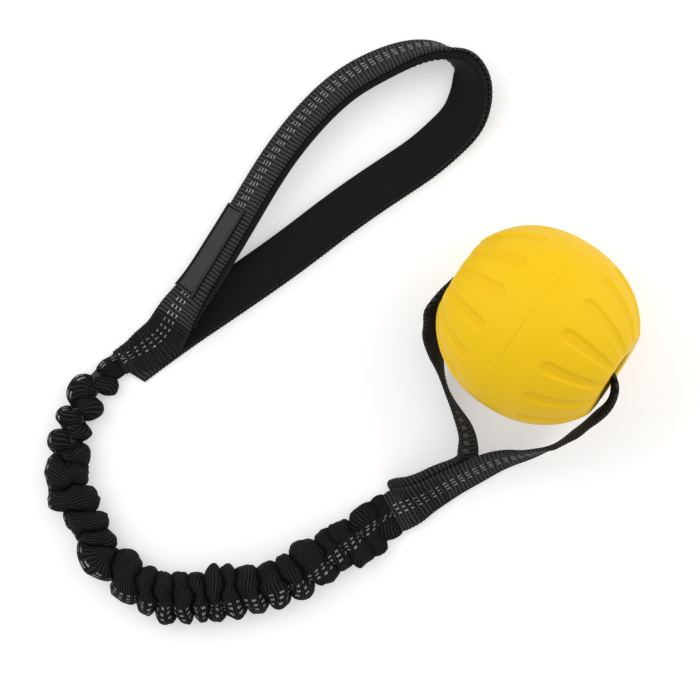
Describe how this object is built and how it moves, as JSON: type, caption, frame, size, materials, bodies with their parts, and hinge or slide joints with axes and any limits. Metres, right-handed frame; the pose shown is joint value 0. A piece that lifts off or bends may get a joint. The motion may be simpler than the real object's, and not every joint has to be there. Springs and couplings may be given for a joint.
{
  "type": "ball on rope dog toy",
  "caption": "Fluted foam ball on a webbing loop, joined by a gathered bungee sleeve to a padded webbing hand loop with a sewn patch.",
  "frame": {"origin": "on the table, under the middle of the box round the hand loop, the ball and its loop, without the bungee", "axes": "+Z up from the table that the toy lies on, +X to the right and +Y up in the picture"},
  "size_m": [0.2673, 0.268, 0.0856],
  "materials": {
    "webbing": "matt ribbed weave, black with three rows of light grey dashes",
    "lining": "matt soft foam with a smooth face, black",
    "label": "matt soft plastic, dark grey",
    "thread": "black sewing thread",
    "elastic": "black rubber cord",
    "ball": "satin closed-cell foam, yellow"
  },
  "bodies": {
    "bungee": {"bungee_sleeve": "webbing", "elastic_core": "elastic", "ball_end_tack": "thread"},
    "handle_end": {"handle_end_tack": "thread"},
    "handle": {"handle_webbing": "webbing", "handle_lining": "lining", "handle_joint_stitching": "thread", "lining_stitching": "thread", "label_patch": "label", "label_stitching": "thread"},
    "ball_loop": {"ball_strap": "webbing", "ball_tail_stitching": "thread"},
    "ball": {"ball": "ball"}
  },
  "joints": [
    {"name": "bungee_stretch", "type": "slide", "parent": "bungee", "child": "handle_end", "axis": [-0.8763, 0.4818, 0], "range_m": [0, 0.2], "stiffness_N_per_m": 300, "deforming": ["bungee_sleeve", "elastic_core"]},
    {"name": "handle_swing", "type": "hinge", "parent": "handle_end", "child": "handle", "pos_m": [-0.1143, -0.035, 0.003], "axis": [0.4956, -0.8686, 0], "range_deg": [0, 120]},
    {"name": "ball_loop_swing", "type": "hinge", "parent": "bungee", "child": "ball_loop", "pos_m": [0.01119, -0.10399, 0.003], "axis": [0.4768, -0.879, 0], "range_deg": [0, 120]},
    {"name": "ball_spin", "type": "hinge", "parent": "ball_loop", "child": "ball", "pos_m": [0.07332, -0.01856, 0.0428], "axis": [0.8184, -0.5478, 0.1736], "continuous": true}
  ]
}
